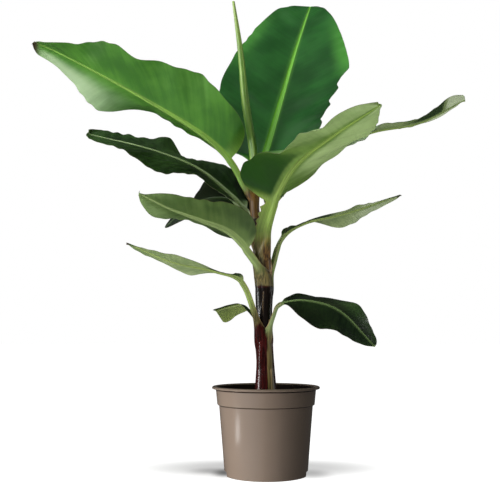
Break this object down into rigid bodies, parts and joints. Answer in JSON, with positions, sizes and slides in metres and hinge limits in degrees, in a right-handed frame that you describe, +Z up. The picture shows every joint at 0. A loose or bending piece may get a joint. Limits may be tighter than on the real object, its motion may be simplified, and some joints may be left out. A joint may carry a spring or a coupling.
{
  "type": "potted banana plant",
  "caption": "Young banana plant: broad arching leaves and one rolled new leaf on a reddish stem of leaf sheaths, in a round taupe nursery pot filled with soil.",
  "frame": {"origin": "centre of the flat underside of the pot", "axes": "+Z up along the stem, +X to the right and +Y away from a viewer in front"},
  "size_m": [0.9175, 0.4801, 1.0305],
  "materials": {
    "pot": "glossy taupe injection-moulded plastic",
    "soil": "dark brown moist potting mix",
    "stem": "glossy maroon leaf sheaths, olive green above with papery edges",
    "leaf": "satin green leaf, deep green above and paler below, with a raised midrib",
    "new_leaf": "satin yellow-green rolled leaf"
  },
  "bodies": {
    "root": {"pot": "pot", "soil": "soil", "pseudostem": "stem", "spear": "new_leaf", "leaf_upper_left": "leaf", "leaf_top": "leaf", "leaf_front_right": "leaf", "leaf_right_back": "leaf", "leaf_left_back": "leaf", "leaf_back": "leaf", "leaf_front_left": "leaf", "leaf_lower_left": "leaf", "leaf_middle_right": "leaf", "leaf_low_back": "leaf", "leaf_lower_right": "leaf"}
  },
  "joints": []
}
